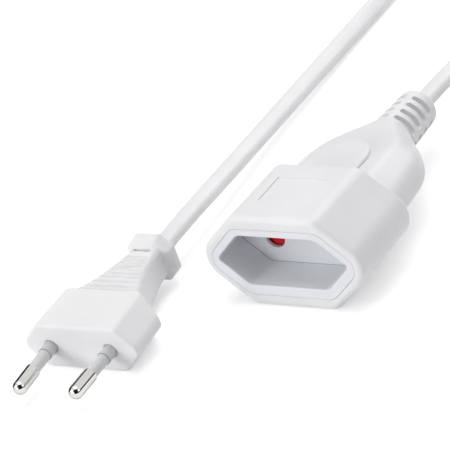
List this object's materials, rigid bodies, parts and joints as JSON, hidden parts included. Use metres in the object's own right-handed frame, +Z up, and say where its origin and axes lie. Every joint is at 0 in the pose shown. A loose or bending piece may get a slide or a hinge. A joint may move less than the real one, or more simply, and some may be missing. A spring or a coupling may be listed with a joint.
{
  "type": "extension cord",
  "caption": "Flat two-core extension lead with a hexagonal coupler socket, a spring-returned pin shutter, a slotted strain relief and a flat two-pin plug.",
  "frame": {"origin": "under the middle of the socket, on the surface that it lies on", "axes": "+Y along the socket from its mouth to its cord, +Z up, +X to the right when looking into the mouth"},
  "size_m": [0.094, 0.3164, 0.0274],
  "materials": {
    "white_plastic": "moulded white plastic, fine satin",
    "grey_plastic": "glass-filled plastic, matte",
    "red_plastic": "moulded red plastic",
    "steel": "ground steel pin",
    "spring_steel": "drawn spring wire",
    "soft_white": "soft moulded sleeve",
    "brass": "stamped brass",
    "copper": "bare copper strands",
    "cord_sheath": "flexible sheath, satin",
    "tie": "plain plastic band",
    "plug_plastic": "moulded soft plastic, fine grain",
    "brown_core": "core insulation",
    "blue_core": "core insulation",
    "nickel": "nickel plating, polished",
    "sleeve_plastic": "grey insulating sleeve"
  },
  "bodies": {
    "lead": {"socket_shell": "white_plastic", "socket_insert": "white_plastic", "contact_carrier": "grey_plastic", "shutter_pivot": "steel", "shutter_spring": "spring_steel", "strain_relief": "soft_white", "cord_clamp": "brass", "sheath_in_socket": "cord_sheath", "cord_socket_run": "cord_sheath", "cord_coil": "cord_sheath", "coil_tie": "tie", "cord_plug_run": "cord_sheath", "plug_body": "plug_plastic", "plug_bridge": "grey_plastic", "sheath_in_plug": "cord_sheath", "contact_left": "brass", "contact_right": "brass", "socket_core_left": "brown_core", "socket_core_right": "blue_core", "socket_strand_left": "copper", "socket_strand_right": "copper", "pin_left": "nickel", "pin_right": "nickel", "pin_sleeve_left": "sleeve_plastic", "pin_sleeve_right": "sleeve_plastic", "plug_core_left": "brown_core", "plug_core_right": "blue_core", "plug_strand_left": "copper", "plug_strand_right": "copper"},
    "shutter": {"pin_shutter": "red_plastic"}
  },
  "joints": [
    {"name": "shutter_turn", "type": "hinge", "parent": "lead", "child": "shutter", "pos_m": [0, -0.02595, 0.0137], "axis": [0, -1, 0], "range_deg": [0, 37], "stiffness_Nm_per_rad": 0.002, "springref_deg": -11.46, "deforming": ["shutter_spring"]}
  ]
}
